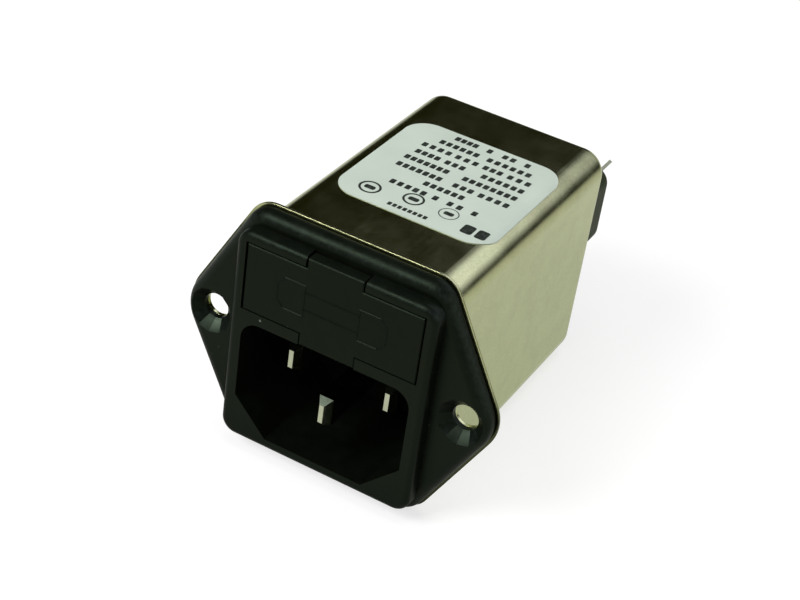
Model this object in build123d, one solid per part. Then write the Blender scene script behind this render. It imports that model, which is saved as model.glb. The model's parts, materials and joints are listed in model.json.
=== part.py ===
from build123d import *
import os
from math import cos, radians, sin

# Power inlet filter: a moulded inlet with a fuse drawer on the front of a drawn metal can.
# Millimetres. X runs to the right seen from the front, Y back along the can, Z up.
# The origin is midway between the two panel holes, on the face that meets the panel.

# Panel holes and flange outline
HOLE_PITCH = 36.0
HOLE_D = 3.5
SINK_D = 6.4
SINK_FACETS = 12            # flats of the moulded countersink
FLANGE_TIP_X = 22.9         # sharp tip of each ear, before it is rounded
FLANGE_CORNER_X = 13.4      # sharp corner between the top edge and the slope
FLANGE_HALF_H = 17.5
TIP_R = 6.0
CORNER_R = 3.8
SHEET_T = 0.5               # metal flange, drawn with the can
SHEET_EDGE_R = 0.2
PLATE_T = 2.15              # plastic flange
PLATE_INSET = 0.35          # plastic outline inside the metal one
PLATE_EDGE_R = 1.5
PLATE_REAR_R = 0.3

# Raised bezel round the drawer and the inlet
BEZEL_W = 27.9
BEZEL_TOP = 15.2
BEZEL_BOTTOM = -15.6
BEZEL_RISE = 2.0
BEZEL_R = 2.2
BEZEL_EDGE_R = 0.8
BEZEL_DRAFT = 2.0           # degrees

# Inlet cavity and its three pins
CAVITY_W = 24.1
CAVITY_H = 16.45
CAVITY_TOP = 2.45
CAVITY_R = 2.5
CAVITY_CUT = 4.9            # sloped lower corners
CAVITY_DEPTH = 16.6
FLOOR_T = 1.6
PIN_W = 2.0
PIN_H = 4.0
PIN_SPACING = 14.0
PIN_DROP = 6.15             # below the cavity's top edge
PIN_RECESS = 4.3            # tip behind the bezel's face
EARTH_DROP = 9.35
EARTH_RECESS = 0.8
PIN_BEVEL = 0.68
PIN_BEVEL_L = 1.1
TAIL_W = 1.0
TAIL_H = 1.6
FIT = 0.05                  # clearance all round a fitted piece

# Drawn can
CAN_W = 27.6
CAN_TOP = 15.4
CAN_BOTTOM = -17.3
CAN_L = 43.7
CAN_T = 0.5
CAN_R = 3.4
CAN_BACK_R = 1.6
SHROUD_GAP = 0.15           # moulding inside the can

# Fuse drawer
DRAWER_W = 24.4
DRAWER_TOP = 13.55
DRAWER_BOTTOM = 4.15
DRAWER_FACE_T = 1.7
DRAWER_GAP = 0.25           # dark line round the drawer's face
DRAWER_FOOT_GAP = 0.08      # finer line below it and beside the lock tab
DRAWER_EDGE = 0.12          # softened edge of the drawer's face
TONGUE_W = 7.7              # finger tongue in the bezel's top notch
TONGUE_TOP = 15.0
TAB_W = 7.8                 # lock tab down to the cavity's edge
RUN_GAP = 0.15              # drawer body in its bay
RAIL_T = 1.2
RAIL_H = 7.8
RAIL_EDGE_R = 0.3
BAY_END_GAP = 0.5

# Two cartridge fuses lying across the drawer
FUSE_L = 20.0
FUSE_CAP_D = 5.2
FUSE_CAP_L = 5.0
FUSE_CAP_T = 0.25
FUSE_TUBE_D = 4.6
FUSE_TUBE_T = 0.7
FUSE_WIRE_D = 0.3
FUSE_PITCH = 6.4
FUSE_FRONT_GAP = 0.6        # drawer face to the first fuse
FUSE_END_GAP = 0.3
CRADLE_W = 9.4
CRADLE_GAP = 0.08

# Spring contacts under and over the fuse caps
CONTACT_W = 3.0
CONTACT_T = 0.35
CONTACT_X = 8.3
CONTACT_GAP = 0.15
CONTACT_OFFSET = 3.6        # straight run from the fuse's middle
CONTACT_LIP = 2.1           # lead-in past the crest, towards the front

# Circuit board and what stands on it
BOARD_T = 1.6
BOARD_STAND = 1.4
BOARD_EDGE = 0.4
BOARD_R = 2.8
POST_D = 2.4
POSTS = [(-11.7, 1.4), (11.7, 1.4), (-7.5, -15.0), (7.5, -15.0), (0.0, 13.2)]
LEAD_D = 0.8
LEAD_END = 0.7              # lead ends past the board's faces
STAND_OFF = 1.0             # under the bodies on the board
CHOKE_FOOT_GAP = 0.7        # winding to the can's floor
CORE_R = 8.0
CORE_BORE_R = 4.9
CORE_L = 7.6
CORE_EDGE = 0.5
WINDING_T = 1.2
WINDING_ARC = 130.0
WINDING_LEAD_TURN = 50.0    # degrees up and down from the choke's side
XCAP_H = 7.4
XCAP_L = 13.0
XCAP_LEAD_PITCH = 15.0
YCAP_W = 3.0
YCAP_H = 7.0
YCAP_L = 9.0
YCAP_LEAD_PITCH = 5.0
CAP_ROW_GAP = 0.5
CAP_EDGE_R = 0.4
CAP_TOP_GAP = 1.3           # capacitors to the can's top
CAP_SIDE_GAP = 0.9          # capacitors to the can's sides
RESISTOR_D = 2.3
RESISTOR_L = 6.3
RESISTOR_EDGE = 0.4
RESISTOR_SIDE = 2.9         # resistor's middle to the can's side
RESISTOR_FOOT = 2.8         # and to its floor

# Rear terminal base and its three quick-connect tabs
BASE_W = 26.0
BASE_H = 11.9
BASE_TOP_IN = 5.0           # below the can's top
BASE_RISE = 4.6
BASE_R = 2.4
BASE_EDGE_R = 0.5
PLUG_W = 22.4
PLUG_H = 9.6
PLUG_L = 3.2
PLUG_R = 1.5
TERMINAL_W = 4.8
TERMINAL_T = 0.5
TERMINAL_L = 8.6
TERMINAL_TAIL = 1.4
TERMINAL_PITCH = 9.0
TERMINAL_RISE = 0.95        # above the middle of the base
TERMINAL_TILT = 30.0        # degrees from upright
TERMINAL_CUT = 1.0
TERMINAL_HOLE_D = 1.4
TERMINAL_HOLE_IN = 3.2
LINK_D = 1.3                # stout wires from the board to the tabs
LINK_IN = 1.7               # from the tab's lower edge, along the slant

# Paper label
LABEL_W = 22.5
LABEL_L = 23.4
LABEL_R = 3.5
LABEL_T = 0.1
LABEL_X = 0.7
LABEL_Y = 22.2

# Planes and places that follow from the sizes above
SHEET_FRONT = -SHEET_T
PLATE_FRONT = SHEET_FRONT - PLATE_T
FACE = PLATE_FRONT - BEZEL_RISE
CAVITY_BACK = FACE + CAVITY_DEPTH
SHROUD_BACK = CAVITY_BACK + FLOOR_T
PIN_Z = CAVITY_TOP - PIN_DROP
EARTH_Z = CAVITY_TOP - EARTH_DROP
FUSE_Z = (DRAWER_TOP + DRAWER_BOTTOM) / 2
FUSE_R = FUSE_CAP_D / 2
FUSE_1_Y = FACE + DRAWER_FACE_T + FUSE_FRONT_GAP + FUSE_R
FUSE_2_Y = FUSE_1_Y + FUSE_PITCH
RAIL_IN = FUSE_L / 2 + FUSE_END_GAP
RAIL_OUT = RAIL_IN + RAIL_T
WALL_T = FUSE_PITCH - FUSE_CAP_D - 2 * CRADLE_GAP
DRAWER_BACK = FUSE_2_Y + FUSE_R + CRADLE_GAP + WALL_T
BAY_BACK = DRAWER_BACK + BAY_END_GAP
BOARD_FRONT = SHROUD_BACK + BOARD_STAND
BOARD_BACK = BOARD_FRONT + BOARD_T
LEAD_FRONT = BOARD_FRONT - LEAD_END
CAN_IN_W = CAN_W - 2 * CAN_T
CAN_IN_TOP = CAN_TOP - CAN_T
CAN_IN_BOTTOM = CAN_BOTTOM + CAN_T
BASE_BACK = CAN_L + BASE_RISE
TAIL_FRONT = CAN_L - PLUG_L - TERMINAL_TAIL
TERMINAL_BACK = BASE_BACK + TERMINAL_L
BASE_Z = CAN_TOP - BASE_TOP_IN - BASE_H / 2
TERMINAL_Z = BASE_Z + TERMINAL_RISE
CAP_ROW_Z = CAN_IN_TOP - CAP_TOP_GAP - XCAP_H / 2
YCAP_X = CAN_IN_W / 2 - CAP_SIDE_GAP - YCAP_W / 2
XCAP_W = 2 * (YCAP_X - YCAP_W / 2 - CAP_ROW_GAP)
CHOKE_Z = CAN_IN_BOTTOM + CHOKE_FOOT_GAP + WINDING_T + CORE_R
RESISTOR_X = RESISTOR_SIDE - CAN_IN_W / 2
RESISTOR_Z = CAN_IN_BOTTOM + RESISTOR_FOOT
CORE_FRONT = BOARD_BACK + STAND_OFF + WINDING_T
CORE_BACK = CORE_FRONT + CORE_L


def slab(outline, y0, y1):
    """Solid between y0 and y1 from an outline drawn in X and Z."""
    return extrude(Plane.XZ.offset(-y1) * outline, amount=y1 - y0)


def block(width, height, radius, x=0.0, z=0.0):
    """Outline of a rectangle with rounded corners, in X and Z."""
    return Pos(x, z) * RectangleRounded(width, height, radius)


def bar(diameter, y0, y1, x, z):
    """Round bar along Y."""
    return slab(Pos(x, z) * Circle(diameter / 2), y0, y1)


def span(width, bottom, top, radius):
    """Rounded outline centred on X between two heights."""
    return block(width, top - bottom, radius, z=(top + bottom) / 2)


def flange_outline():
    """Six-sided flange with rounded ears and corners."""
    points = [
        (-FLANGE_TIP_X, 0),
        (-FLANGE_CORNER_X, FLANGE_HALF_H),
        (FLANGE_CORNER_X, FLANGE_HALF_H),
        (FLANGE_TIP_X, 0),
        (FLANGE_CORNER_X, -FLANGE_HALF_H),
        (-FLANGE_CORNER_X, -FLANGE_HALF_H),
    ]
    face = make_face(Polyline(points, close=True).edges())
    corners = face.vertices().filter_by(lambda v: abs(v.Y) > FLANGE_HALF_H / 2)
    face = fillet(corners, CORNER_R)
    tips = face.vertices().filter_by(lambda v: abs(v.Y) < FLANGE_HALF_H / 100)
    return fillet(tips, TIP_R)


def cavity_outline(grow=0.0):
    """Inlet opening: rounded top corners, sloped bottom corners."""
    half = CAVITY_W / 2 + grow
    top = CAVITY_TOP + grow
    bottom = CAVITY_TOP - CAVITY_H - grow
    points = [
        (-half, top),
        (half, top),
        (half, bottom + CAVITY_CUT),
        (half - CAVITY_CUT, bottom),
        (-half + CAVITY_CUT, bottom),
        (-half, bottom + CAVITY_CUT),
    ]
    face = make_face(Polyline(points, close=True).edges())
    upper = face.vertices().filter_by(lambda v: v.Y > top - CAVITY_R / 2)
    return fillet(upper, CAVITY_R)


def can_outline(grow=0.0):
    """Section of the can, square to its length."""
    return span(CAN_W + 2 * grow, CAN_BOTTOM - grow, CAN_TOP + grow, CAN_R + grow)


def contact_places():
    """Spring contacts: name, side, side of the fuse (below or above), fuse."""
    return [
        ("line_in_contact", -1, -1, FUSE_1_Y),
        ("line_out_contact", 1, -1, FUSE_1_Y),
        ("neutral_in_contact", 1, 1, FUSE_2_Y),
        ("neutral_out_contact", -1, 1, FUSE_2_Y),
    ]


def pin_places():
    """Inlet pins: name, X, Z and the tip's distance behind the face."""
    return [
        ("line_pin", -PIN_SPACING / 2, PIN_Z, PIN_RECESS),
        ("neutral_pin", PIN_SPACING / 2, PIN_Z, PIN_RECESS),
        ("earth_pin", 0.0, EARTH_Z, EARTH_RECESS),
    ]


def terminal_places():
    """Rear tabs: pole and X."""
    return [("line", -TERMINAL_PITCH), ("earth", 0.0), ("neutral", TERMINAL_PITCH)]


def link_places():
    """Places where the wires to the rear tabs pass the board, in X and Z."""
    turn = radians(TERMINAL_TILT)
    down = TERMINAL_W / 2 - LINK_IN + LINK_D
    return {pole: (x - down * sin(turn), TERMINAL_Z - down * cos(turn)) for pole, x in terminal_places()}


def winding_leads(side):
    """Ends of one winding of the choke, in X and Z."""
    turn = radians(WINDING_LEAD_TURN)
    reach = CORE_R + WINDING_T / 2
    return [(side * reach * cos(turn), CHOKE_Z + s * reach * sin(turn)) for s in (-1, 1)]


def capacitor_leads():
    """Places where capacitor and resistor leads pass the board, in X and Z."""
    rows = [(s * XCAP_LEAD_PITCH / 2, CAP_ROW_Z) for s in (-1, 1)]
    for side in (-1, 1):
        rows += [(side * YCAP_X, CAP_ROW_Z + s * YCAP_LEAD_PITCH / 2) for s in (-1, 1)]
    return rows + [(RESISTOR_X, RESISTOR_Z)]


def front_moulding():
    plate = slab(offset(flange_outline(), amount=-PLATE_INSET), PLATE_FRONT, SHEET_FRONT)
    front_edges = plate.faces().sort_by(Axis.Y)[0].edges()
    plate = fillet(front_edges, PLATE_EDGE_R)
    rear_edges = plate.faces().sort_by(Axis.Y)[-1].edges()
    plate = fillet(rear_edges, PLATE_REAR_R)

    ring = span(BEZEL_W, BEZEL_BOTTOM, BEZEL_TOP, BEZEL_R)
    bezel = extrude(Plane.XZ.offset(-PLATE_FRONT) * ring, amount=BEZEL_RISE, taper=BEZEL_DRAFT)
    bezel = fillet(bezel.faces().sort_by(Axis.Y)[0].edges(), BEZEL_EDGE_R)

    inner = can_outline(-CAN_T - SHROUD_GAP)
    shroud = slab(inner, SHEET_FRONT, SHROUD_BACK)
    part = plate + bezel + shroud

    # posts that the board rests on
    for x, z in POSTS:
        part += bar(POST_D, SHROUD_BACK, BOARD_FRONT, x, z)

    part -= slab(cavity_outline(), FACE, CAVITY_BACK)

    # window, notch and lock slot that the drawer's face fills
    face_back = FACE + DRAWER_FACE_T + FIT
    window = Pos(0, (DRAWER_TOP + DRAWER_GAP + DRAWER_BOTTOM - DRAWER_FOOT_GAP) / 2) * Rectangle(
        DRAWER_W + 2 * DRAWER_GAP, DRAWER_TOP - DRAWER_BOTTOM + DRAWER_GAP + DRAWER_FOOT_GAP
    )
    notch_h = BEZEL_TOP + BEZEL_R - FUSE_Z
    notch = Pos(0, FUSE_Z + notch_h / 2) * Rectangle(TONGUE_W + 2 * DRAWER_GAP, notch_h)
    slot_h = FUSE_Z - CAVITY_TOP + CAVITY_R
    slot = Pos(0, FUSE_Z - slot_h / 2) * Rectangle(TAB_W + 2 * DRAWER_FOOT_GAP, slot_h)
    part -= slab(window, FACE, face_back)
    part -= slab(notch, FACE, PLATE_FRONT)
    part -= slab(slot, FACE, face_back)

    # bay that the drawer's body runs in
    bay = Pos(0, FUSE_Z) * Rectangle(2 * (RAIL_OUT + RUN_GAP), RAIL_H + 2 * RUN_GAP)
    part -= slab(bay, FACE, BAY_BACK)

    # slots for the spring contacts and the pins
    for name, side, over, fuse_y in contact_places():
        cut = Rectangle(CONTACT_W + 2 * FIT, CONTACT_T + 2 * FIT)
        part -= slab(Pos(side * CONTACT_X, FUSE_Z + over * CONTACT_OFFSET) * cut, BAY_BACK, SHROUD_BACK)
    for name, x, z, recess in pin_places():
        cut = Rectangle(PIN_W + 2 * FIT, PIN_H + 2 * FIT)
        part -= slab(Pos(x, z) * cut, CAVITY_BACK, SHROUD_BACK)

    # countersunk panel holes
    sink_depth = (SINK_D - HOLE_D) / 2
    mouth = Rot(0, 0, 90) * RegularPolygon(SINK_D / 2, SINK_FACETS)
    foot = Rot(0, 0, 90) * RegularPolygon(HOLE_D / 2, SINK_FACETS, major_radius=False)
    for x in (-HOLE_PITCH / 2, HOLE_PITCH / 2):
        part -= bar(HOLE_D, PLATE_FRONT, SHEET_FRONT, x, 0)
        levels = [(PLATE_FRONT, mouth), (PLATE_FRONT + sink_depth, foot)]
        part -= loft([Plane.XZ.offset(-y) * Pos(x, 0) * outline for y, outline in levels])
    return part


def filter_can():
    flange = slab(flange_outline(), SHEET_FRONT, 0)
    for face in (flange.faces().sort_by(Axis.Y)[0], flange.faces().sort_by(Axis.Y)[-1]):
        flange = fillet(face.edges(), SHEET_EDGE_R)
    shell = slab(can_outline(), SHEET_FRONT, CAN_L)
    shell = fillet(shell.faces().sort_by(Axis.Y)[-1].edges(), CAN_BACK_R)
    hollow = slab(can_outline(-CAN_T), SHEET_FRONT, CAN_L - CAN_T)
    hollow = fillet(hollow.faces().sort_by(Axis.Y)[-1].edges(), CAN_BACK_R - CAN_T)
    part = flange + shell - hollow
    for x in (-HOLE_PITCH / 2, HOLE_PITCH / 2):
        part -= bar(HOLE_D, SHEET_FRONT, 0, x, 0)
    hole = block(PLUG_W + 2 * FIT, PLUG_H + 2 * FIT, PLUG_R + FIT, z=BASE_Z)
    return part - slab(hole, CAN_L - CAN_T, CAN_L)


def inlet_pin(x, z, recess):
    tip = FACE + recess
    blade = slab(Pos(x, z) * Rectangle(PIN_W, PIN_H), tip, BOARD_FRONT)
    blade = chamfer(blade.faces().sort_by(Axis.Y)[0].edges(), PIN_BEVEL, PIN_BEVEL_L,
                    reference=blade.faces().sort_by(Axis.Y)[0])
    tail = slab(Pos(x, z) * Rectangle(TAIL_W, TAIL_H), BOARD_FRONT, BOARD_BACK + LEAD_END)
    return blade + tail


def spring_contact(side, over, fuse_y):
    """Leaf that runs straight from the board, then crests at the fuse's cap."""
    run = over * CONTACT_OFFSET
    crest = over * (FUSE_R + CONTACT_GAP + CONTACT_T / 2)
    back = BOARD_BACK + LEAD_END
    points = [
        (back, FUSE_Z + run),
        (fuse_y + FUSE_R, FUSE_Z + run),
        (fuse_y + CONTACT_T, FUSE_Z + crest),
        (fuse_y - CONTACT_T, FUSE_Z + crest),
        (fuse_y - CONTACT_LIP, FUSE_Z + (run + crest) / 2),
    ]
    path = FilletPolyline(*points, radius=CONTACT_T)
    leaf = trace(path, CONTACT_T)
    return extrude(Plane.YZ.offset(side * CONTACT_X - CONTACT_W / 2) * leaf, amount=CONTACT_W)


def drawer_face_outline():
    face = Pos(0, FUSE_Z) * Rectangle(DRAWER_W, DRAWER_TOP - DRAWER_BOTTOM)
    tongue_h = TONGUE_TOP - FUSE_Z
    tongue = Pos(0, FUSE_Z + tongue_h / 2) * Rectangle(TONGUE_W, tongue_h)
    tab_h = FUSE_Z - CAVITY_TOP - DRAWER_FOOT_GAP
    tab = Pos(0, FUSE_Z - tab_h / 2) * Rectangle(TAB_W, tab_h)
    return face + tongue + tab


def fuse_drawer():
    part = slab(drawer_face_outline(), FACE, FACE + DRAWER_FACE_T)
    part = chamfer(part.faces().sort_by(Axis.Y)[0].edges(), DRAWER_EDGE)
    face_back = FACE + DRAWER_FACE_T
    for side in (-1, 1):
        rail = block(RAIL_T, RAIL_H, RAIL_EDGE_R, side * (RAIL_IN + RAIL_T / 2), FUSE_Z)
        part += slab(rail, face_back, DRAWER_BACK)
    # cross walls behind each fuse, low enough to pass under the upper contacts
    wall = Pos(0, FUSE_Z) * Rectangle(2 * RAIL_IN, 2 * (FUSE_R - CONTACT_GAP))
    for fuse_y in (FUSE_1_Y, FUSE_2_Y):
        part += slab(wall, fuse_y + FUSE_R + CRADLE_GAP, fuse_y + FUSE_R + CRADLE_GAP + WALL_T)
    # cradle under the glass tubes
    cradle_h = RAIL_H / 2
    cradle = Pos(0, FUSE_Z - cradle_h / 2) * Rectangle(CRADLE_W, cradle_h)
    part += slab(cradle, face_back, DRAWER_BACK)
    for fuse_y in (FUSE_1_Y, FUSE_2_Y):
        groove = Cylinder(FUSE_TUBE_D / 2 + CRADLE_GAP, CRADLE_W, rotation=(0, 90, 0))
        part -= Pos(0, fuse_y, FUSE_Z) * groove
    return part


def along_x(diameter, x0, x1, y, z):
    """Round bar along X."""
    return extrude(Plane.YZ.offset(x0) * Pos(y, z) * Circle(diameter / 2), amount=x1 - x0)


def fuse_tube(y):
    half = FUSE_L / 2 - FUSE_CAP_T
    tube = along_x(FUSE_TUBE_D, -half, half, y, FUSE_Z)
    return tube - along_x(FUSE_TUBE_D - 2 * FUSE_TUBE_T, -half, half, y, FUSE_Z)


def fuse_cap(y, side):
    end = FUSE_L / 2
    mouth = end - FUSE_CAP_L
    floor = end - FUSE_CAP_T
    cap = along_x(FUSE_CAP_D, mouth, end, y, FUSE_Z)
    cap = chamfer(cap.edges().sort_by(Axis.X)[-1], FUSE_CAP_T)
    cap -= along_x(FUSE_TUBE_D + 2 * FIT, mouth, floor, y, FUSE_Z)
    return cap if side > 0 else mirror(cap, Plane.YZ)


def fuse_wire(y):
    half = FUSE_L / 2 - FUSE_CAP_T
    return along_x(FUSE_WIRE_D, -half, half, y, FUSE_Z)


def circuit_board():
    inner = span(CAN_IN_W - 2 * BOARD_EDGE, CAN_IN_BOTTOM + BOARD_EDGE, CAN_IN_TOP - BOARD_EDGE, BOARD_R)
    part = slab(inner, BOARD_FRONT, BOARD_BACK)
    for name, x, z, recess in pin_places():
        part -= slab(Pos(x, z) * Rectangle(TAIL_W + 2 * FIT, TAIL_H + 2 * FIT), BOARD_FRONT, BOARD_BACK)
    for name, side, over, fuse_y in contact_places():
        cut = Rectangle(CONTACT_W + 2 * FIT, CONTACT_T + 2 * FIT)
        part -= slab(Pos(side * CONTACT_X, FUSE_Z + over * CONTACT_OFFSET) * cut, BOARD_FRONT, BOARD_BACK)
    for x, z in capacitor_leads() + winding_leads(-1) + winding_leads(1):
        part -= bar(LEAD_D + 2 * FIT, BOARD_FRONT, BOARD_BACK, x, z)
    for x, z in link_places().values():
        part -= bar(LINK_D + 2 * FIT, BOARD_FRONT, BOARD_BACK, x, z)
    return part


def ring(r_in, r_out, y0, y1):
    return slab(Pos(0, CHOKE_Z) * (Circle(r_out) - Circle(r_in)), y0, y1)


def choke_core():
    core = ring(CORE_BORE_R, CORE_R, CORE_FRONT, CORE_BACK)
    return chamfer(core.edges().filter_by(GeomType.CIRCLE), CORE_EDGE)


def choke_winding(side):
    """Copper sleeve round one side of the core."""
    outer = ring(CORE_BORE_R - WINDING_T, CORE_R + WINDING_T, CORE_FRONT - WINDING_T, CORE_BACK + WINDING_T)
    inner = ring(CORE_BORE_R - FIT, CORE_R + FIT, CORE_FRONT - FIT, CORE_BACK + FIT)
    reach = 2 * (CORE_R + WINDING_T)
    half = radians(WINDING_ARC / 2)
    wedge = Polyline((0, 0), (side * reach * cos(half), reach * sin(half)),
                     (side * reach, 0), (side * reach * cos(half), -reach * sin(half)), close=True)
    sector = slab(Pos(0, CHOKE_Z) * make_face(wedge.edges()), CORE_FRONT - WINDING_T, CORE_BACK + WINDING_T)
    coil = (outer - inner) & sector
    for x, z in winding_leads(side):
        coil += bar(LEAD_D, LEAD_FRONT, CORE_FRONT - WINDING_T / 2, x, z)
    return coil


def box_capacitor(width, height, length, x, z, leads):
    """Moulded film capacitor with two leads through the board."""
    front = BOARD_BACK + STAND_OFF
    body = slab(Pos(x, z) * Rectangle(width, height), front, front + length)
    rear = body.faces().sort_by(Axis.Y)[-1].edges()
    body = fillet(rear, CAP_EDGE_R)
    for lead_x, lead_z in leads:
        body += bar(LEAD_D, LEAD_FRONT, front + length / 2, lead_x, lead_z)
    return body


def bleed_resistor():
    """Resistor standing on its end with its lead through the board."""
    front = BOARD_BACK + STAND_OFF
    body = bar(RESISTOR_D, front, front + RESISTOR_L, RESISTOR_X, RESISTOR_Z)
    body = chamfer(body.edges().filter_by(GeomType.CIRCLE), RESISTOR_EDGE)
    return body + bar(LEAD_D, LEAD_FRONT, front + RESISTOR_L / 2, RESISTOR_X, RESISTOR_Z)


def terminal_section(x, grow=0.0):
    """Section of a rear tab, leaning to the right."""
    blade = Rectangle(TERMINAL_T + 2 * grow, TERMINAL_W + 2 * grow)
    return Pos(x, TERMINAL_Z) * Rot(0, 0, -TERMINAL_TILT) * blade


def terminal_base():
    part = slab(block(BASE_W, BASE_H, BASE_R, z=BASE_Z), CAN_L, BASE_BACK)
    part = fillet(part.faces().sort_by(Axis.Y)[-1].edges(), BASE_EDGE_R)
    part += slab(block(PLUG_W, PLUG_H, PLUG_R, z=BASE_Z), CAN_L - PLUG_L, CAN_L)
    for pole, x in terminal_places():
        part -= slab(terminal_section(x, FIT), CAN_L - PLUG_L, BASE_BACK)
    return part


def terminal_tab(x):
    half = TERMINAL_W / 2
    tip = TERMINAL_BACK
    points = [
        (-half, TAIL_FRONT),
        (half, TAIL_FRONT),
        (half, tip - TERMINAL_CUT),
        (half - TERMINAL_CUT, tip),
        (TERMINAL_CUT - half, tip),
        (-half, tip - TERMINAL_CUT),
    ]
    flat = make_face(Polyline(points, close=True).edges())
    flat -= Pos(0, tip - TERMINAL_HOLE_IN) * Circle(TERMINAL_HOLE_D / 2)
    blade = extrude(flat, amount=TERMINAL_T / 2, both=True)
    upright = Rot(0, TERMINAL_TILT - 90, 0) * blade
    return Pos(x, 0, TERMINAL_Z) * upright


def link_wire(pole):
    x, z = link_places()[pole]
    return bar(LINK_D, LEAD_FRONT, TAIL_FRONT, x, z)


def rating_label():
    """Paper sheet that follows the can's top and its right-hand curve."""
    y0 = LABEL_Y - LABEL_L / 2
    y1 = LABEL_Y + LABEL_L / 2
    skin = slab(can_outline(LABEL_T), y0, y1) - slab(can_outline(), y0, y1)
    outline = Pos(LABEL_X, LABEL_Y) * RectangleRounded(LABEL_W, LABEL_L, LABEL_R)
    column = extrude(Plane.XY.offset(CAN_TOP - CAN_R) * outline, amount=2 * CAN_R)
    return skin & column


def write(name, shape):
    export_step(shape, "parts/" + name + ".step")


os.makedirs("parts", exist_ok=True)

write("front_moulding", front_moulding())
write("filter_can", filter_can())
write("terminal_base", terminal_base())
write("rating_label", rating_label())
for name, x, z, recess in pin_places():
    write(name, inlet_pin(x, z, recess))
for name, side, over, fuse_y in contact_places():
    write(name, spring_contact(side, over, fuse_y))
write("circuit_board", circuit_board())
write("choke_core", choke_core())
write("choke_line_winding", choke_winding(-1))
write("choke_neutral_winding", choke_winding(1))
leads = capacitor_leads()
write("x_capacitor", box_capacitor(XCAP_W, XCAP_H, XCAP_L, 0, CAP_ROW_Z, leads[0:2]))
write("line_y_capacitor", box_capacitor(YCAP_W, YCAP_H, YCAP_L, -YCAP_X, CAP_ROW_Z, leads[2:4]))
write("neutral_y_capacitor", box_capacitor(YCAP_W, YCAP_H, YCAP_L, YCAP_X, CAP_ROW_Z, leads[4:6]))
write("bleed_resistor", bleed_resistor())
for pole, x in terminal_places():
    write(pole + "_terminal", terminal_tab(x))
    write(pole + "_link_wire", link_wire(pole))
write("fuse_drawer", fuse_drawer())
for pole, fuse_y in (("line", FUSE_1_Y), ("neutral", FUSE_2_Y)):
    write(pole + "_fuse_tube", fuse_tube(fuse_y))
    write(pole + "_fuse_left_cap", fuse_cap(fuse_y, -1))
    write(pole + "_fuse_right_cap", fuse_cap(fuse_y, 1))
    write(pole + "_fuse_wire", fuse_wire(fuse_y))
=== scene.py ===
import json
import math

import bmesh
import bpy
from mathutils import Matrix, Vector

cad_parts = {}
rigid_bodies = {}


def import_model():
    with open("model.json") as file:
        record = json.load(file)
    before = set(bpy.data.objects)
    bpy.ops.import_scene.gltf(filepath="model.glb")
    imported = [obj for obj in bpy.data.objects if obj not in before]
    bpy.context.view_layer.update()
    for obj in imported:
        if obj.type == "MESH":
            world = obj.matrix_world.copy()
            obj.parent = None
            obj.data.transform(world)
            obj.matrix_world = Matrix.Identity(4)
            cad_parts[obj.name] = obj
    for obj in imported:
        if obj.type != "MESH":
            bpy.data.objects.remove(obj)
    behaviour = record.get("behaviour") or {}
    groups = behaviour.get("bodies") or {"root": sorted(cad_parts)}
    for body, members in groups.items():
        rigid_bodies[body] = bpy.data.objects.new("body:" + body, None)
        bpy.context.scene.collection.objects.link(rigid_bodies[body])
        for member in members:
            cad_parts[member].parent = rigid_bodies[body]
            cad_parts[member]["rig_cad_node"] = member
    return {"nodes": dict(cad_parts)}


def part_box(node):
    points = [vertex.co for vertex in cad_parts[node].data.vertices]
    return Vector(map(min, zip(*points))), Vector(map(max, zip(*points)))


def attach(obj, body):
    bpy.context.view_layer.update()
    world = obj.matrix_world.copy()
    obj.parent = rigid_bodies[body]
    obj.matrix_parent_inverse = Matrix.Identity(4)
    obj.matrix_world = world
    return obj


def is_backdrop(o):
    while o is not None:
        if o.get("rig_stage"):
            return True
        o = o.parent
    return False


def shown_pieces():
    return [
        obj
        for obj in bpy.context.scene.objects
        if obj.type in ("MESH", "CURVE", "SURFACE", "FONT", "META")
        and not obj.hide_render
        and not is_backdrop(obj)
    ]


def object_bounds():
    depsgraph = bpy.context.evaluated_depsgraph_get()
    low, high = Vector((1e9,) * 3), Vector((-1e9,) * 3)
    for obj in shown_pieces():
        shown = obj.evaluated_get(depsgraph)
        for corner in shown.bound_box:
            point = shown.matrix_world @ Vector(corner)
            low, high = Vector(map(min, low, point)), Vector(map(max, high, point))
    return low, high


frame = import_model()
cad_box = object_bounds()
nodes = frame["nodes"]
MM = 0.001


# Camera at the photograph's place
LENS_MM = 79.92
SENSOR_MM = 36.0
CLIP_NEAR = 0.01
CLIP_FAR = 20.0
CAMERA_AT = (0.07973, -0.15873, 0.12878)
CAMERA_RIGHT = (0.8614, 0.4916, 0.1275)
CAMERA_UP = (-0.3703, 0.4362, 0.8201)
CAMERA_BACK = (0.3475, -0.7537, 0.5579)

camera_data = bpy.data.cameras.new("camera")
camera_data.lens = LENS_MM
camera_data.sensor_width = SENSOR_MM
camera_data.clip_start = CLIP_NEAR
camera_data.clip_end = CLIP_FAR
camera = bpy.data.objects.new("camera", camera_data)
bpy.context.scene.collection.objects.link(camera)
turn = Matrix((CAMERA_RIGHT, CAMERA_UP, CAMERA_BACK)).transposed()
camera.matrix_world = Matrix.Translation(CAMERA_AT) @ turn.to_4x4()
bpy.context.scene.camera = camera
bpy.context.scene.view_settings.view_transform = "Standard"


# Shader nodes
def new_material(name):
    mat = bpy.data.materials.new(name)
    mat.use_nodes = True
    tree = mat.node_tree
    shader = tree.nodes["Principled BSDF"]
    return mat, tree, shader


def node(tree, kind, **values):
    made = tree.nodes.new(kind)
    for key, value in values.items():
        setattr(made, key, value)
    return made


def coords(tree, scale=(1, 1, 1)):
    place = node(tree, "ShaderNodeTexCoord")
    mapping = node(tree, "ShaderNodeMapping")
    mapping.inputs["Scale"].default_value = scale
    tree.links.new(place.outputs["Object"], mapping.inputs["Vector"])
    return mapping.outputs["Vector"]


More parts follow.
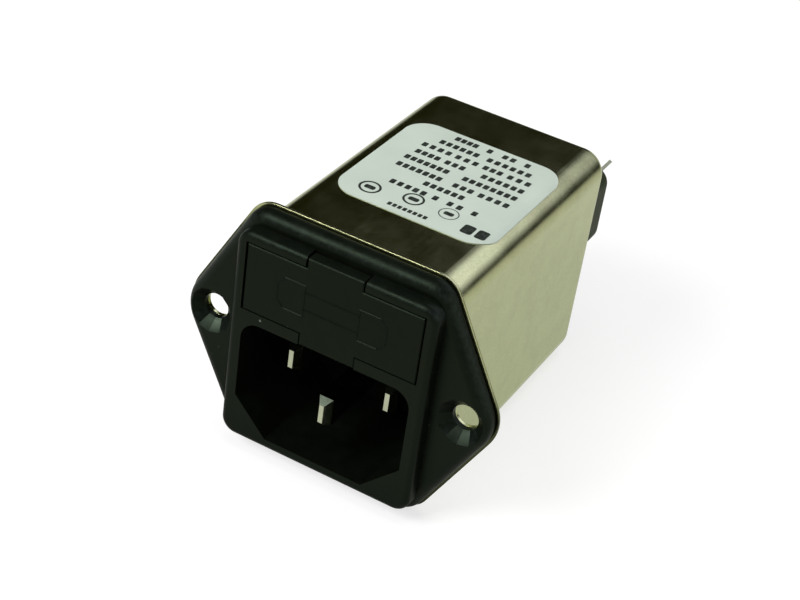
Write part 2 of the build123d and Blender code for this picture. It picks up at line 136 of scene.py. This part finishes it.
def noise(tree, where, scale, detail=3.0, roughness=0.55, distortion=0.0):
    made = node(tree, "ShaderNodeTexNoise")
    made.inputs["Scale"].default_value = scale
    made.inputs["Detail"].default_value = detail
    made.inputs["Roughness"].default_value = roughness
    made.inputs["Distortion"].default_value = distortion
    tree.links.new(where, made.inputs["Vector"])
    return made.outputs["Fac"]


def ramp(tree, value, stops, smooth=False):
    """Colour or grey that follows a value through stops of place and colour."""
    made = node(tree, "ShaderNodeValToRGB")
    if smooth:
        made.color_ramp.interpolation = "EASE"
    elements = made.color_ramp.elements
    while len(elements) < len(stops):
        elements.new(0.5)
    for element, (place, colour) in zip(elements, stops):
        element.position = place
        if isinstance(colour, (int, float)):
            colour = (colour, colour, colour)
        element.color = (*colour, 1.0)
    tree.links.new(value, made.inputs["Fac"])
    return made.outputs["Color"]


def math_node(tree, operation, *values, clamp=False):
    made = node(tree, "ShaderNodeMath", operation=operation, use_clamp=clamp)
    for index, value in enumerate(values):
        if isinstance(value, (int, float)):
            made.inputs[index].default_value = value
        else:
            tree.links.new(value, made.inputs[index])
    return made.outputs[0]


def plus(tree, first, second, clamp=False):
    return math_node(tree, "ADD", first, second, clamp=clamp)


def times(tree, first, *others):
    for other in others:
        first = math_node(tree, "MULTIPLY", first, other)
    return first


def above(tree, value, limit):
    """One where the value is above the limit, and 0 elsewhere."""
    return math_node(tree, "GREATER_THAN", value, limit)


def below(tree, value, limit):
    """One where the value is below the limit, and 0 elsewhere."""
    return math_node(tree, "LESS_THAN", value, limit)


def mix(tree, factor, first, second):
    made = node(tree, "ShaderNodeMix", data_type="RGBA")
    for key, value in (("Factor", factor), ("A", first), ("B", second)):
        socket = [s for s in made.inputs if s.name == key and s.enabled][0]
        if isinstance(value, tuple):
            socket.default_value = (*value, 1.0)
        else:
            tree.links.new(value, socket)
    return [s for s in made.outputs if s.enabled][0]


def split_parts(tree, vector):
    split = node(tree, "ShaderNodeSeparateXYZ")
    tree.links.new(vector, split.inputs[0])
    return split.outputs["X"], split.outputs["Y"], split.outputs["Z"]


def place_parts(tree):
    """X, Y and Z of a point in the object's own frame."""
    return split_parts(tree, node(tree, "ShaderNodeTexCoord").outputs["Object"])


def facing_parts(tree, kind):
    """X, Y and Z of the normal, either Normal or True Normal."""
    return split_parts(tree, node(tree, "ShaderNodeNewGeometry").outputs[kind])


def bump(tree, shader, layers, normal=None):
    """Stacks bump layers: height, strength and depth in metres."""
    for height, strength, depth in layers:
        made = node(tree, "ShaderNodeBump")
        made.inputs["Strength"].default_value = strength
        made.inputs["Distance"].default_value = depth
        tree.links.new(height, made.inputs["Height"])
        if normal is not None:
            tree.links.new(normal, made.inputs["Normal"])
        normal = made.outputs["Normal"]
    tree.links.new(normal, shader.inputs["Normal"])


# Places on the part, in metres
HOLE_X = 0.018
SINK_R = 0.0032
HOLE_RIM_R = 0.0026
EAR_X = 0.0136
INLET_HALF_W = 0.0123
INLET_BOTTOM = -0.0142
INLET_TOP = 0.003
SHEET_FROM = -0.001
SHEET_TO = -0.0001
RIM_SHIFT = 0.05            # keeps heights above zero for a ramp

# The countersinks' lower facets, which get a painted highlight
FACET_UP = 0.6
FACET_FRONT = -0.2
SIDE_SCALE = 20             # spreads the part's width over a ramp
RIGHT_HIGHLIGHT = 0.42           # the right-hand one gets a weaker painted highlight

# Tints shared by the plastics
GLOSS_TINT = (0.72, 1.0, 0.66)
DUST = (0.26, 0.27, 0.24)
# lighter tone for up-facing ridges: partly dust, partly a painted sheen
DUST_FILM_AND_SHEEN = (0.034, 0.043, 0.045)
# painted highlight colour for the countersinks' lower facets
SINK_HIGHLIGHT = (0.115, 0.155, 0.115)


def from_hole(tree, x, z):
    """Distance from the axis of the nearer panel hole."""
    beside = math_node(tree, "SUBTRACT", math_node(tree, "ABSOLUTE", x), HOLE_X)
    across = times(tree, beside, beside)
    down = times(tree, z, z)
    return math_node(tree, "SQRT", plus(tree, across, down))


def upward_ridges(tree):
    """One on edges and ridges that face up, most on middle slopes where a painted sheen lies along
    with dust, and 0 in the inlet.
    """
    x, _, z = place_parts(tree)
    facing = facing_parts(tree, "Normal")[2]
    upward = ramp(tree, facing, [(0.12, 0.0), (0.45, 1.0), (0.75, 0.7), (0.95, 0.12)])
    narrow = below(tree, math_node(tree, "ABSOLUTE", x), INLET_HALF_W)
    level = times(tree, above(tree, z, INLET_BOTTOM), below(tree, z, INLET_TOP))
    inlet = times(tree, narrow, level)
    return times(tree, upward, math_node(tree, "SUBTRACT", 1.0, inlet))


def sink_highlight_mask(tree):
    """Painted highlight on the lower facets of the two countersinks, the ones facing up and front, and
    0 elsewhere.
    """
    x, _, z = place_parts(tree)
    facing_x, facing_y, facing_z = facing_parts(tree, "True Normal")
    upward = above(tree, facing_z, FACET_UP)
    leaning = below(tree, facing_y, FACET_FRONT)
    away = math_node(tree, "DIVIDE", from_hole(tree, x, z), SINK_R)
    inside = ramp(tree, away, [(0.55, 0.7), (0.66, 1.0), (0.84, 0.5), (0.97, 0.12), (1.0, 0.0)])
    turned = ramp(tree, plus(tree, facing_x, 0.5), [(0.45, 1.0), (0.55, 0.35)])
    side = plus(tree, times(tree, x, SIDE_SCALE), 0.5)
    side = ramp(tree, side, [(0.45, 1.0), (0.55, RIGHT_HIGHLIGHT)])
    return times(tree, inside, turned, side, times(tree, upward, leaning))


def ear_rim_shade_mask(tree):
    """One on the lower rim of the metal sheet at the ears, which gets a painted shade, and 0
    elsewhere.
    """
    x, y, z = place_parts(tree)
    out = above(tree, math_node(tree, "ABSOLUTE", x), EAR_X)
    out = times(tree, out, above(tree, from_hole(tree, x, z), HOLE_RIM_R))
    sheet = times(tree, above(tree, y, SHEET_FROM), below(tree, y, SHEET_TO))
    height = plus(tree, z, RIM_SHIFT)
    right = ramp(tree, height, [(0.051, 1.0), (0.056, 0.0)])
    left = ramp(tree, height, [(0.065, 1.0), (0.0665, 0.0)])
    low = mix(tree, below(tree, x, 0.0), right, left)
    return times(tree, out, sheet, low)


# Materials
def moulded_plastic(name, dark, light, rough, specular, sinks=False, dust_and_sheen=0.0):
    """Moulding: fine spark-eroded grain, cloudy gloss, a little dust, a painted sheen on up-facing
    ridges, and with sinks a painted highlight on the countersinks' lower facets.
    """
    mat, tree, shader = new_material(name)
    where = coords(tree)
    cloud = noise(tree, where, 160, 4, 0.6)
    patch = noise(tree, where, 620, 3, 0.65, 0.6)
    grain = noise(tree, where, 5200, 2, 0.6)
    orange = noise(tree, where, 900, 3, 0.55)
    tone = plus(tree, times(tree, cloud, 0.5), times(tree, patch, 0.5))
    colour = ramp(tree, tone, [(0.36, dark), (0.64, light)])

    # specks of dust, most of them on the ridges
    specks = node(tree, "ShaderNodeTexVoronoi")
    specks.inputs["Scale"].default_value = 620
    specks.inputs["Randomness"].default_value = 1.0
    tree.links.new(where, specks.inputs["Vector"])
    near = ramp(tree, specks.outputs["Distance"], [(0.0, 1.0), (0.07, 0.0)])
    chosen = ramp(tree, noise(tree, where, 330, 1), [(0.6, 0.0), (0.66, 1.0)])
    upward = upward_ridges(tree)
    dust = times(tree, near, chosen, plus(tree, times(tree, upward, 0.7), 0.3))
    colour = mix(tree, dust, colour, DUST)
    # lighter patches on up-facing ridges, partly dust and partly a painted sheen where the fillets
    # catch the light
    if dust_and_sheen:
        film = noise(tree, where, 1500, 5, 0.7, 0.4)
        film = ramp(tree, film, [(0.42, 0.1), (0.68, 1.0)])
        colour = mix(tree, times(tree, upward, film, dust_and_sheen), colour, DUST_FILM_AND_SHEEN)
    # painted highlight on the countersinks' lower facets
    if sinks:
        mottle = ramp(tree, orange, [(0.3, 0.7), (0.7, 1.0)])
        colour = mix(tree, times(tree, sink_highlight_mask(tree), mottle), colour, SINK_HIGHLIGHT)
    tree.links.new(colour, shader.inputs["Base Color"])

    gloss = ramp(tree, tone, [(0.34, rough[0]), (0.66, rough[1])])
    tree.links.new(gloss, shader.inputs["Roughness"])
    shader.inputs["Specular IOR Level"].default_value = specular
    shader.inputs["Specular Tint"].default_value = (*GLOSS_TINT, 1.0)
    bump(tree, shader, [(orange, 0.2, 0.00006), (grain, 0.25, 0.00002)])
    return mat


def plated_metal(name, dark, light, rough, grain_axis=(1, 0.05, 1), speck=0.0, wave=None,
                 edge=0.0, rim=None):
    """Nickel or tin plate: mottled tone, fine scratches along the drawing direction.

    wave is the scale, strength and depth of a slow unevenness, edge the radius of the
    rounding that edges seem to have, and rim the colour of a painted shade on the sheet's lower rim at
    the ears.
    """
    mat, tree, shader = new_material(name)
    where = coords(tree)
    drawn = coords(tree, grain_axis)
    cloud = noise(tree, where, 220, 4, 0.62)
    fine = noise(tree, where, 3600, 3, 0.7)
    lines = noise(tree, drawn, 2600, 3, 0.6)
    tone = times(tree, plus(tree, cloud, fine), 0.5)
    colour = ramp(tree, tone, [(0.36, dark), (0.62, light)])
    # painted shade on the lower rim of the sheet at the ears
    if rim:
        colour = mix(tree, ear_rim_shade_mask(tree), colour, rim)
    tree.links.new(colour, shader.inputs["Base Color"])

    mixed = plus(tree, times(tree, cloud, 0.6), times(tree, lines, 0.4))
    gloss = ramp(tree, mixed, [(0.34, rough[0]), (0.66, rough[1])])
    if speck:
        spots = noise(tree, where, 5200, 2, 0.5)
        spots = ramp(tree, spots, [(0.6, 0.0), (0.7, speck)])
        gloss = plus(tree, gloss, spots, clamp=True)
    tree.links.new(gloss, shader.inputs["Roughness"])
    shader.inputs["Metallic"].default_value = 1.0

    layers = [(lines, 0.08, 0.00002), (fine, 0.1, 0.00001)]
    if wave:
        scale, strength, depth = wave
        layers.insert(0, (noise(tree, where, scale, 1, 0.4), strength, depth))
    start = None
    if edge:
        soft = node(tree, "ShaderNodeBevel", samples=6)
        soft.inputs["Radius"].default_value = edge
        start = soft.outputs["Normal"]
    bump(tree, shader, layers, start)
    return mat


def plain(name, dark, light, scale, rough, depth=0.00002, metallic=0.0):
    """Simple two-tone surface with grain, for the pieces inside."""
    mat, tree, shader = new_material(name)
    where = coords(tree)
    cloud = noise(tree, where, scale, 3, 0.6)
    fine = noise(tree, where, scale * 12, 2, 0.6)
    colour = ramp(tree, cloud, [(0.32, dark), (0.68, light)])
    gloss = ramp(tree, fine, [(0.3, rough[0]), (0.7, rough[1])])
    tree.links.new(colour, shader.inputs["Base Color"])
    tree.links.new(gloss, shader.inputs["Roughness"])
    shader.inputs["Metallic"].default_value = metallic
    bump(tree, shader, [(fine, 0.2, depth)])
    return mat


def label_paper():
    mat, tree, shader = new_material("label_paper")
    where = coords(tree)
    cloud = noise(tree, where, 120, 3, 0.5)
    fibre = noise(tree, where, 6000, 2, 0.6)
    tone = ramp(tree, cloud, [(0.3, (0.49, 0.56, 0.485)), (0.7, (0.543, 0.614, 0.537))])
    tree.links.new(tone, shader.inputs["Base Color"])
    tree.links.new(ramp(tree, fibre, [(0.3, 0.42), (0.7, 0.55)]), shader.inputs["Roughness"])
    bump(tree, shader, [(cloud, 0.1, 0.00005), (fibre, 0.08, 0.00001)])
    return mat


def ink():
    mat, tree, shader = new_material("ink")
    where = coords(tree)
    worn = noise(tree, where, 2400, 3, 0.6)
    tone = ramp(tree, worn, [(0.35, (0.007, 0.009, 0.007)), (0.7, (0.04, 0.047, 0.04))])
    tree.links.new(tone, shader.inputs["Base Color"])
    tree.links.new(ramp(tree, worn, [(0.3, 0.45), (0.7, 0.6)]), shader.inputs["Roughness"])
    shader.inputs["Specular IOR Level"].default_value = 0.2
    return mat


def fuse_glass():
    mat, tree, shader = new_material("fuse_glass")
    where = coords(tree)
    cloud = noise(tree, where, 200, 2, 0.5)
    tone = ramp(tree, cloud, [(0.3, (0.9, 0.96, 0.93)), (0.7, (0.97, 1.0, 0.98))])
    tree.links.new(tone, shader.inputs["Base Color"])
    tree.links.new(ramp(tree, cloud, [(0.3, 0.02), (0.7, 0.06)]), shader.inputs["Roughness"])
    shader.inputs["Transmission Weight"].default_value = 1.0
    shader.inputs["IOR"].default_value = 1.5
    return mat


# both mouldings get dust mixed with a painted sheen on their ridges; the front one also a painted
# highlight in its countersinks
moulding = moulded_plastic(
    "moulding", (0.0018, 0.0026, 0.0015), (0.0034, 0.0046, 0.0028), (0.34, 0.48), 0.115,
    sinks=True, dust_and_sheen=0.3)
drawer_plastic = moulded_plastic(
    "drawer_plastic", (0.0022, 0.0032, 0.0018), (0.0038, 0.0052, 0.0031), (0.4, 0.5), 0.1,
    dust_and_sheen=0.25)
rear_plastic = moulded_plastic(
    "rear_plastic", (0.022, 0.028, 0.012), (0.038, 0.046, 0.022), (0.46, 0.58), 0.12)
# its rim colour is a painted shade on the ears' lower rim
nickel = plated_metal(
    "nickel", (0.38, 0.385, 0.2), (0.475, 0.48, 0.265), (0.13, 0.23), (1, 0.04, 1),
    speck=0.05, wave=(90, 0.2, 0.0004), edge=0.00016, rim=(0.055, 0.06, 0.03))
pin_metal = plated_metal(
    "pin_metal", (0.42, 0.43, 0.33), (0.53, 0.53, 0.41), (0.1, 0.18),
    wave=(1100, 0.2, 0.0001))
tab_metal = plated_metal("tab_metal", (0.24, 0.25, 0.16), (0.36, 0.37, 0.26), (0.32, 0.46))
spring_brass = plated_metal("spring_brass", (0.62, 0.46, 0.2), (0.78, 0.62, 0.32), (0.22, 0.36))
tinned = plated_metal("tinned", (0.6, 0.6, 0.58), (0.76, 0.76, 0.74), (0.2, 0.35))
board_face = plain("board_face", (0.24, 0.2, 0.07), (0.34, 0.29, 0.12), 300, (0.35, 0.5))
ferrite = plain(
    "ferrite", (0.02, 0.02, 0.022), (0.045, 0.045, 0.05), 500, (0.55, 0.75), depth=0.00005)
enamel_copper = plain(
    "enamel_copper", (0.4, 0.13, 0.05), (0.55, 0.2, 0.08), 700, (0.2, 0.32), metallic=0.8)
film_box = plain("film_box", (0.5, 0.46, 0.32), (0.62, 0.58, 0.42), 260, (0.35, 0.5))
ceramic_coat = plain("ceramic_coat", (0.03, 0.12, 0.3), (0.05, 0.18, 0.4), 400, (0.25, 0.4))
paper = label_paper()
print_ink = ink()
glass = fuse_glass()

finishes = {
    "front_moulding": moulding,
    "fuse_drawer": drawer_plastic,
    "terminal_base": rear_plastic,
    "filter_can": nickel,
    "rating_label": paper,
    "circuit_board": board_face,
    "choke_core": ferrite,
    "choke_line_winding": enamel_copper,
    "choke_neutral_winding": enamel_copper,
    "x_capacitor": film_box,
    "line_y_capacitor": ceramic_coat,
    "neutral_y_capacitor": ceramic_coat,
    "bleed_resistor": ceramic_coat,
}
finishes_by_ending = [
    ("_pin", pin_metal),
    ("_terminal", tab_metal),
    ("_contact", spring_brass),
    ("_tube", glass),
]
for name, obj in nodes.items():
    finish = finishes.get(name, tinned)
    for ending, metal in finishes_by_ending:
        if name.endswith(ending):
            finish = metal
    obj.data.materials.clear()
    obj.data.materials.append(finish)


def flat_piece(name, material, body="filter"):
    mesh = bpy.data.meshes.new(name)
    obj = bpy.data.objects.new(name, mesh)
    bpy.context.scene.collection.objects.link(obj)
    mesh.materials.append(material)
    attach(obj, body)
    return obj, mesh


# Generic print on the label, in millimetres: rows of blocks, three rings and two solid marks
LABEL_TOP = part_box("rating_label")[1].z
PRINT_LIFT = 0.00001
BLOCK_W = 0.74
BLOCK_STEP = 1.04
BLOCK_R = 0.14
ROW_H = 1.1
SMALL_ROW_H = 0.78
CORNER_STEPS = 4
RING_STEPS = 48
MARK_R = 0.35
ROWS = [                    # Y, height, and the ends in X of each run of blocks
    (32.5, ROW_H, [(-4.0, -0.6), (0.8, 1.6), (3.1, 5.0), (6.4, 7.2)]),
    (30.35, ROW_H, [(-5.2, 0.6), (1.9, 8.3)]),
    (28.2, ROW_H, [(-6.7, -2.4), (-1.7, 1.6), (2.4, 5.2), (6.0, 9.3)]),
    (26.0, ROW_H, [(-6.5, -2.9), (-2.1, 0.8), (3.3, 9.4)]),
    (23.8, ROW_H, [(-6.9, -0.4), (1.7, 9.5)]),
    (21.5, ROW_H, [(-6.8, -0.2), (1.5, 4.4), (5.2, 9.5)]),
    (19.35, ROW_H, [(-1.6, 4.2)]),
    (17.0, ROW_H, [(-5.2, 0.0), (1.0, 1.8), (3.1, 5.2), (6.6, 7.4)]),
    (12.0, SMALL_ROW_H, [(-2.7, 2.9)]),
]
RINGS = [(-6.3, 13.75, 1.5, 0.32), (-0.6, 14.9, 1.45, 0.3), (4.5, 14.8, 1.35, 0.14)]
SOLID_MARKS = [(7.3, 12.1, 8.9, 14.2), (9.3, 12.1, 10.8, 14.2)]


def rounded(bm, x0, y0, x1, y1, r, z):
    """A flat block with rounded corners on the label."""
    verts = []
    corners = ((x1 - r, y1 - r, 0), (x0 + r, y1 - r, 90), (x0 + r, y0 + r, 180), (x1 - r, y0 + r, 270))
    for cx, cy, start in corners:
        for step in range(CORNER_STEPS + 1):
            a = math.radians(start + 90 * step / CORNER_STEPS)
            x = (cx + r * math.cos(a)) * MM
            y = (cy + r * math.sin(a)) * MM
            verts.append(bm.verts.new((x, y, z)))
    bm.faces.new(verts)


def run_of_blocks(bm, x0, x1, y, height, z):
    """Equal blocks between x0 and x1."""
    scale = height / ROW_H
    width = BLOCK_W * scale
    count = max(1, round((x1 - x0 - width) / (BLOCK_STEP * scale)) + 1)
    step = (x1 - x0 - width) / max(1, count - 1)
    for i in range(count):
        left = x0 + step * i
        rounded(bm, left, y - height / 2, left + width, y + height / 2, BLOCK_R * scale, z)


def ring(bm, x, y, r, width, z):
    """A flat ring with a small block in its middle."""
    inner = []
    outer = []
    for i in range(RING_STEPS):
        a = 2 * math.pi * i / RING_STEPS
        c = math.cos(a) * MM
        d = math.sin(a) * MM
        inner.append(bm.verts.new((x * MM + (r - width) * c, y * MM + (r - width) * d, z)))
        outer.append(bm.verts.new((x * MM + r * c, y * MM + r * d, z)))
    for i in range(RING_STEPS):
        j = (i + 1) % RING_STEPS
        bm.faces.new((inner[i], outer[i], outer[j], inner[j]))
    rounded(bm, x - 0.5 * r, y - 0.3 * r, x + 0.5 * r, y + 0.3 * r, 0.2 * r, z)


printed, printed_mesh = flat_piece("label_print", print_ink)
bm = bmesh.new()
print_z = LABEL_TOP + PRINT_LIFT
for y, height, runs in ROWS:
    for x0, x1 in runs:
        run_of_blocks(bm, x0, x1, y, height, print_z)
for x, y, r, width in RINGS:
    ring(bm, x, y, r, width, print_z)
for x0, y0, x1, y1 in SOLID_MARKS:
    rounded(bm, x0, y0, x1, y1, MARK_R, print_z)
bm.to_mesh(printed_mesh)
bm.free()


# Moulded picture of a cartridge fuse, raised on the drawer's face
SIGN_Z = (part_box("line_fuse_tube")[0].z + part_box("line_fuse_tube")[1].z) / 2 / MM
SIGN_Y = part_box("fuse_drawer")[0].y
SIGN_RISE = 0.00009
SIGN_LINE = 0.3
SIGN_FOOT = 0.5             # half the line's width at its foot, as a share of it
SIGN_CREST = 0.2            # and at its crest
SIGN_CAP_W = 3.8
SIGN_CAP_H = 4.4
SIGN_CAP_CUT = 1.0
SIGN_LENGTH = 15.2
SIGN_BODY_H = 2.5


def rib(bm, points, width):
    """Raised line with sloped sides along a closed outline in X and Z."""
    centre = sum((Vector(p) for p in points), Vector((0, 0))) / len(points)
    crest = SIGN_Y - SIGN_RISE
    section = ((SIGN_FOOT, SIGN_Y), (SIGN_CREST, crest), (-SIGN_CREST, crest), (-SIGN_FOOT, SIGN_Y))
    loops = []
    for reach, y in section:
        loop = []
        for i, p in enumerate(points):
            before = (Vector(p) - Vector(points[i - 1])).normalized()
            after = (Vector(points[(i + 1) % len(points)]) - Vector(p)).normalized()
            out = Vector((before.y + after.y, -before.x - after.x)).normalized()
            if out.dot(Vector(p) - centre) < 0:
                out = -out
            grow = reach * width / math.cos(before.angle(after) / 2)
            place = Vector(p) + out * grow
            loop.append(bm.verts.new((place.x * MM, y, (SIGN_Z + place.y) * MM)))
        loops.append(loop)
    for a, b in zip(loops, loops[1:]):
        for i in range(len(points)):
            j = (i + 1) % len(points)
            bm.faces.new((a[i], a[j], b[j], b[i]))


sign, sign_mesh = flat_piece("fuse_sign", drawer_plastic, "drawer")
bm = bmesh.new()
neck = SIGN_LENGTH / 2 - SIGN_CAP_W
half = SIGN_CAP_H / 2
thin = SIGN_LINE / 8
for side in (-1, 1):
    end = side * SIGN_LENGTH / 2
    cut = side * SIGN_CAP_CUT
    rib(bm, [
        (side * neck, half),
        (end - cut, half),
        (end, half - SIGN_CAP_CUT),
        (end, SIGN_CAP_CUT - half),
        (end - cut, -half),
        (side * neck, -half),
    ], SIGN_LINE)
    line = side * SIGN_BODY_H / 2
    rib(bm, [
        (-neck, line - thin),
        (neck, line - thin),
        (neck, line + thin),
        (-neck, line + thin),
    ], SIGN_LINE / 2)
bmesh.ops.recalc_face_normals(bm, faces=bm.faces)
bm.to_mesh(sign_mesh)
bm.free()


# Pale speck between the drawer and the inlet, taken for a gate mark
GATE_X = -9.5
GATE_Z = 3.4
GATE_R = 0.16
GATE_TOP = 0.7              # radius of its flat top, as a share of its own
GATE_RISE = 0.00003
GATE_SIDES = 12
scar = moulded_plastic("gate_scar", (0.1, 0.115, 0.09), (0.16, 0.175, 0.145), (0.5, 0.7), 0.2)
gate, gate_mesh = flat_piece("gate_mark", scar)
bm = bmesh.new()
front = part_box("front_moulding")[0].y
rings = []
for radius, lift in ((1.0, 0.0), (GATE_TOP, GATE_RISE)):
    rings.append([bm.verts.new((
        (GATE_X + GATE_R * radius * math.cos(2 * math.pi * i / GATE_SIDES)) * MM,
        front - lift,
        (GATE_Z + GATE_R * radius * math.sin(2 * math.pi * i / GATE_SIDES)) * MM,
    )) for i in range(GATE_SIDES)])
for i in range(GATE_SIDES):
    j = (i + 1) % GATE_SIDES
    bm.faces.new((rings[0][i], rings[0][j], rings[1][j], rings[1][i]))
bm.faces.new(rings[1])
bm.to_mesh(gate_mesh)
bm.free()


# Floor: white to the camera, and fading with distance in what mirrors it
FLOOR_Z = cad_box[0].z - 0.0001
FLOOR_SIZE = 8.0
FLOOR_TONE = (0.35, 0.35, 0.35)
SEEN_LIFT = 0.7
MIRRORED_LIFT = 0.53
MIRRORED_TINT = (0.93, 1.0, 0.83)
WHITE = (1.0, 1.0, 1.0)
bpy.ops.mesh.primitive_plane_add(size=FLOOR_SIZE, location=(0, 0, FLOOR_Z))
floor = bpy.context.object
floor.name = "floor"
floor_mat, tree, shader = new_material("floor")
shader.inputs["Base Color"].default_value = (*FLOOR_TONE, 1)
shader.inputs["Roughness"].default_value = 0.9
shader.inputs["Specular IOR Level"].default_value = 0.1
rays = node(tree, "ShaderNodeLightPath").outputs
place = node(tree, "ShaderNodeTexCoord").outputs["Object"]
reach = node(tree, "ShaderNodeVectorMath", operation="LENGTH")
tree.links.new(place, reach.inputs[0])
fade = ramp(tree, reach.outputs["Value"], [(0.03, 1.0), (0.09, 0.92), (0.3, 0.55), (0.8, 0.15)])
# painted shadow: a darker strip beneath the flange in what mirrors the floor
along = plus(tree, split_parts(tree, place)[1], 0.05)
flange_shadow = ramp(tree, along, [(0.035, 1.0), (0.045, 0.4), (0.052, 0.4), (0.06, 1.0)])
seen = plus(tree, rays["Is Camera Ray"], rays["Is Transmission Ray"], clamp=True)
seen = times(tree, seen, SEEN_LIFT)
mirrored = times(tree, rays["Is Glossy Ray"], times(tree, fade, flange_shadow), MIRRORED_LIFT)
lift = node(tree, "ShaderNodeEmission")
tree.links.new(mix(tree, rays["Is Glossy Ray"], WHITE, MIRRORED_TINT), lift.inputs["Color"])
tree.links.new(plus(tree, seen, mirrored), lift.inputs["Strength"])
together = node(tree, "ShaderNodeAddShader")
tree.links.new(shader.outputs[0], together.inputs[0])
tree.links.new(lift.outputs[0], together.inputs[1])
tree.links.new(together.outputs[0], tree.nodes["Material Output"].inputs["Surface"])
floor.data.materials.append(floor_mat)
floor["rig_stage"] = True

# Studio: white to the camera, even and soft to matt surfaces, and to shiny ones a dark room
# with a window, a skylight, a wall on the right and a bright back
ROOM_DARK = (0.0165, 0.0165, 0.005)
ROOM_EVEN = (0.3, 0.3, 0.3)
FLOOR_GLOW = (0.12, 0.12, 0.11)
WINDOW_MIDDLE = 25.4        # degrees from upright, to the right
WINDOW_RIGHT = 0.92         # the window reaches a little further to the right
WINDOW_NARROWS_AT = 0.78    # from this Y on it gets narrower
WINDOW_NARROWS_BY = 7.0
WINDOW_COLOUR = (1.76, 1.83, 2.2)
SKYLIGHT_MIDDLE = -24.0
SKYLIGHT_COLOUR = (0.34, 0.41, 0.4)
WALL_COLOUR = (1.8, 1.8, 1.7)
BACK_COLOUR = (0.8, 0.82, 0.75)
QUARTER_TURN = 90.0
world = bpy.data.worlds.new("studio")
bpy.context.scene.world = world
world.use_nodes = True
tree = world.node_tree
rays = node(tree, "ShaderNodeLightPath").outputs
x, y, z = split_parts(tree, node(tree, "ShaderNodeTexCoord").outputs["Generated"])
across = math_node(tree, "DEGREES", math_node(tree, "ARCTAN2", x, z))

# window
off = math_node(tree, "SUBTRACT", across, WINDOW_MIDDLE)
off = math_node(tree, "MAXIMUM", times(tree, off, WINDOW_RIGHT), times(tree, off, -1.0))
narrower = times(tree, math_node(tree, "SUBTRACT", y, WINDOW_NARROWS_AT), WINDOW_NARROWS_BY)
narrower = plus(tree, math_node(tree, "MAXIMUM", narrower, 0.0), 1.0)
off = math_node(tree, "DIVIDE", times(tree, off, narrower), QUARTER_TURN)
wide = ramp(tree, off, [(0.17, 1.0), (0.65, 0.0)], smooth=True)
deep = ramp(tree, y, [(0.3, 0.0), (0.55, 1.0), (0.775, 1.0), (0.825, 0.3), (0.9, 0.0)])
room = mix(tree, times(tree, wide, deep), ROOM_DARK, WINDOW_COLOUR)

# skylight
off = math_node(tree, "ABSOLUTE", math_node(tree, "SUBTRACT", across, SKYLIGHT_MIDDLE))
wide = ramp(tree, math_node(tree, "DIVIDE", off, QUARTER_TURN), [(0.3, 1.0), (0.42, 0.0)])
deep = ramp(tree, times(tree, y, -1.0), [(0.08, 0.0), (0.14, 1.0), (0.4, 1.0), (0.46, 0.0)])
room = mix(tree, times(tree, wide, deep), room, SKYLIGHT_COLOUR)

# wall, back and the floor's glow
room = mix(tree, ramp(tree, x, [(0.74, 0.0), (0.86, 1.0)]), room, WALL_COLOUR)
behind = ramp(tree, y, [(0.91, 0.0), (0.95, 1.0)])
aside = ramp(tree, plus(tree, x, 0.5), [(0.35, 0.0), (0.5, 1.0)])
room = mix(tree, times(tree, behind, aside), room, BACK_COLOUR)
room = mix(tree, ramp(tree, z, [(0.0, 1.0), (0.03, 0.0)]), room, FLOOR_GLOW)

soft = mix(tree, rays["Is Glossy Ray"], ROOM_EVEN, room)
seen = mix(tree, rays["Is Camera Ray"], soft, WHITE)
tree.links.new(seen, tree.nodes["Background"].inputs["Color"])
world.cycles.sampling_method = "NONE"


LIGHTS_AIM = (0, 0.02, 0)
LIGHTS = [                  # name, place, size, watts, and whether shiny surfaces mirror it
    ("key", (-0.3, -0.48, 0.54), (0.36, 0.36), 4.8, True),
    ("overhead", (0.05, 0.05, 0.78), (0.5, 0.5), 2.1, False),
    ("front", (0.25, -0.8, 0.3), (0.6, 0.5), 1.0, False),
]
for name, at, size, power, glossy in LIGHTS:
    data = bpy.data.lights.new(name, "AREA")
    data.shape = "RECTANGLE"
    data.size, data.size_y = size
    data.energy = power
    lamp = bpy.data.objects.new(name, data)
    bpy.context.scene.collection.objects.link(lamp)
    lamp.location = at
    lamp.rotation_mode = "QUATERNION"
    lamp.rotation_quaternion = (Vector(at) - Vector(LIGHTS_AIM)).to_track_quat("Z", "Y")
    lamp.visible_glossy = glossy

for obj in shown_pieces():
    if obj.type == "MESH" and "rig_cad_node" not in obj:
        for polygon in obj.data.polygons:
            polygon.use_smooth = False
